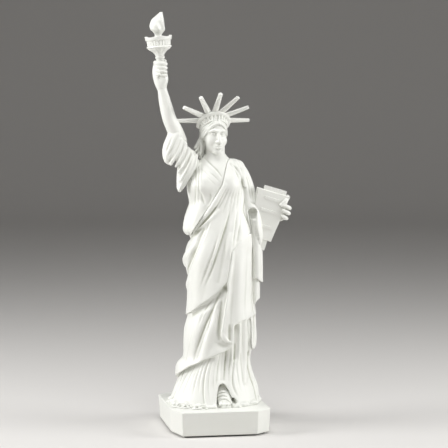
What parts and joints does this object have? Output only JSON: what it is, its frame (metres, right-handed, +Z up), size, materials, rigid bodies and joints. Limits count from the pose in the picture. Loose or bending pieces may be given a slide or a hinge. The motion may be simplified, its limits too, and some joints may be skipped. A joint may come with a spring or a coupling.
{
  "type": "torch bearer figurine",
  "caption": "Cast resin figurine of a robed figure with a raised torch, a spiked crown and a tablet, standing on a low chamfered block.",
  "frame": {"origin": "centre of the felt pad's underside, on the surface the figure stands on", "axes": "+Z up, the figure faces -Y, +X towards the hand that holds the tablet"},
  "size_m": [0.1057, 0.086, 0.3],
  "materials": {
    "white_resin": "satin cast resin",
    "felt": "short dark felt",
    "steel": "drawn wire"
  },
  "bodies": {
    "root": {"plinth": "white_resin", "felt_pad": "felt", "left_foot": "white_resin", "lower_robe": "white_resin", "mantle": "white_resin", "mantle_overfold": "white_resin", "mantle_fall": "white_resin", "bodice": "white_resin", "right_sleeve": "white_resin", "right_arm": "white_resin", "right_hand": "white_resin", "left_sleeve": "white_resin", "left_hand": "white_resin", "tablet": "white_resin", "head": "white_resin", "hair": "white_resin", "diadem": "white_resin", "crown_rays": "white_resin", "torch_handle": "white_resin", "torch_gallery": "white_resin", "torch_flame": "white_resin", "broken_chain": "white_resin", "plinth_dowels": "steel", "robe_dowels": "steel", "waist_dowels": "steel", "neck_dowel": "steel", "arm_rod": "steel", "hand_dowel": "steel", "tablet_dowel": "steel"}
  },
  "joints": []
}
